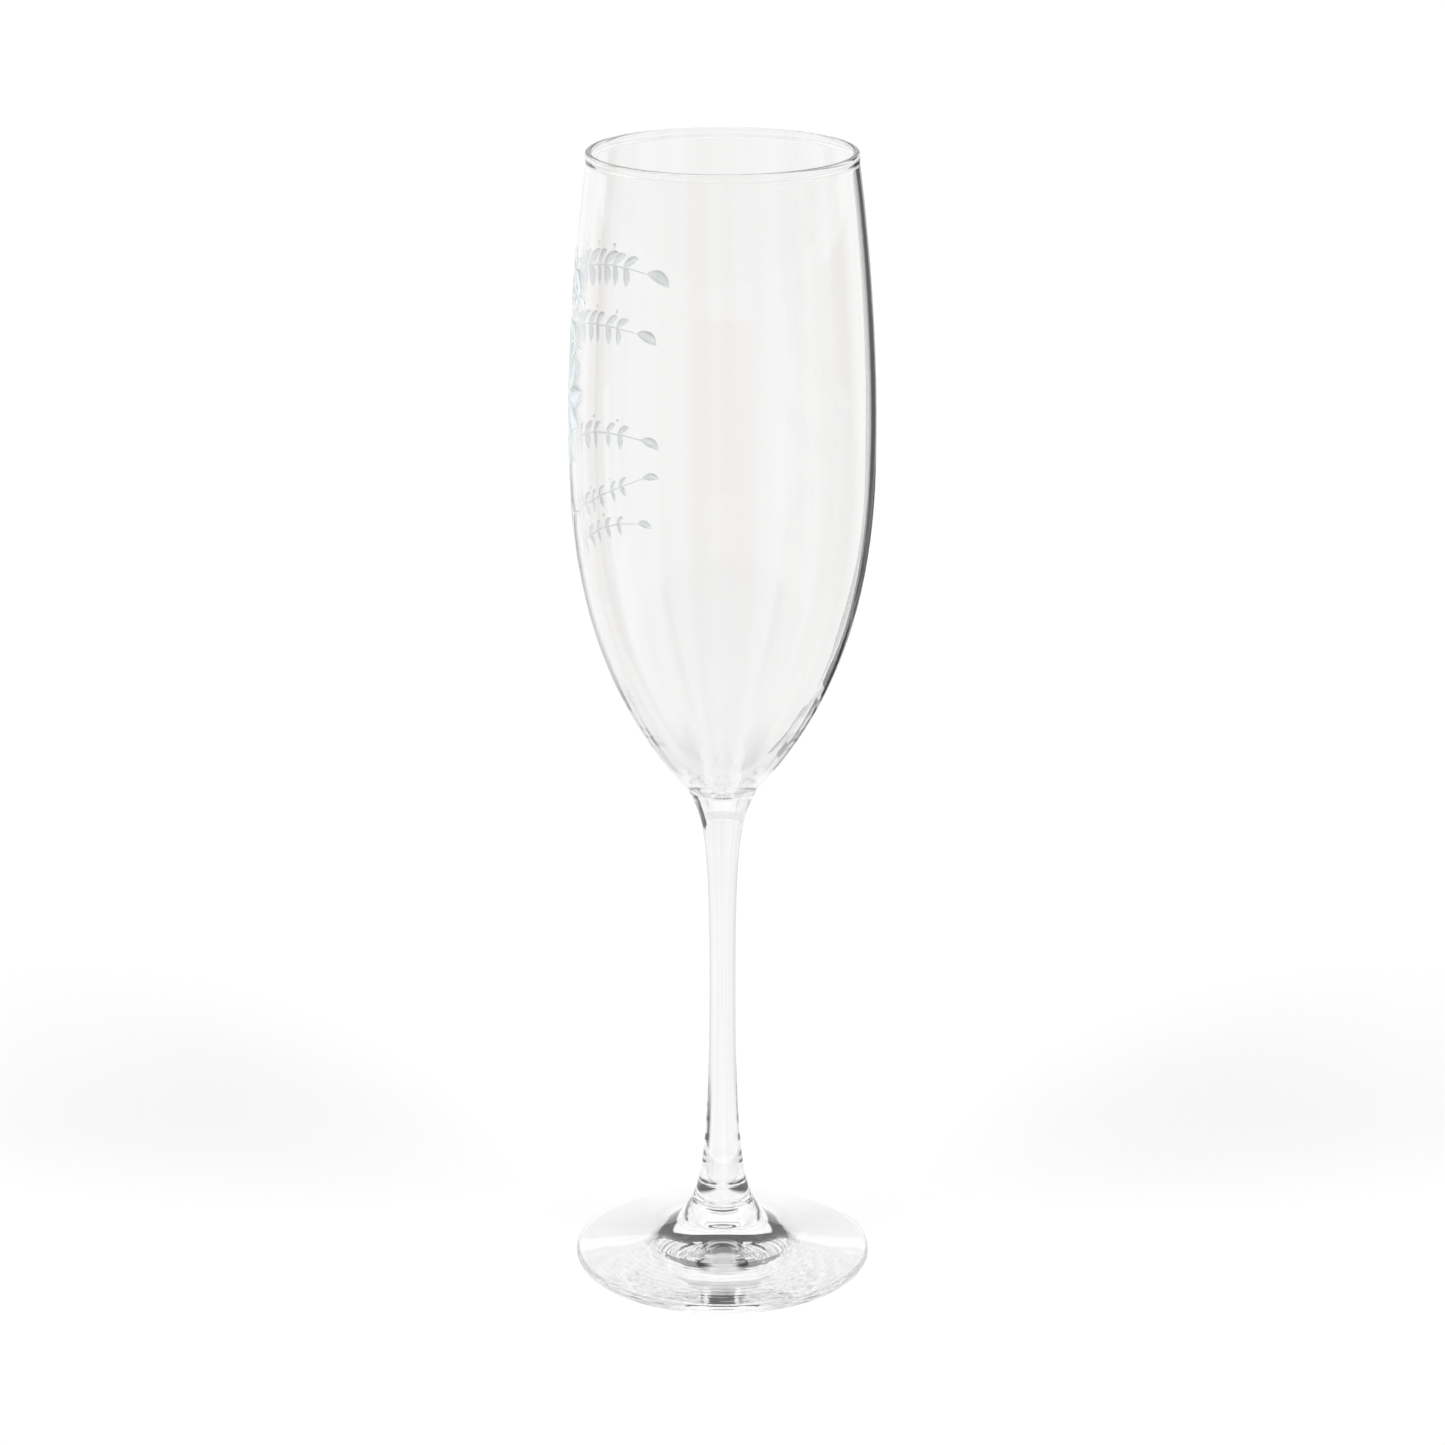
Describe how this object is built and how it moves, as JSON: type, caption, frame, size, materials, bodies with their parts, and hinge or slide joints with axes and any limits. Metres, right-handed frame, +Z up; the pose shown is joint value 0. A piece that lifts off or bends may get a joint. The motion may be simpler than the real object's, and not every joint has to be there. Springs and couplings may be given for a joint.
{
  "type": "champagne flute",
  "caption": "Stemmed glass champagne flute with a tall tapering bowl, slim solid stem and round flared foot.",
  "frame": {"origin": "centre of the foot's resting plane, on the axis of the glass", "axes": "+Z up along the axis of the glass, from the foot to the rim; +X and +Y are any two directions across it"},
  "size_m": [0.0604, 0.0604, 0.23],
  "materials": {
    "bowl_glass": "clear, blown and fire-polished",
    "stem_glass": "clear, pressed, with faint mould seams",
    "foot_glass": "clear, spun and fire-polished"
  },
  "bodies": {
    "root": {"bowl": "bowl_glass", "stem": "stem_glass", "foot": "foot_glass"}
  },
  "joints": []
}
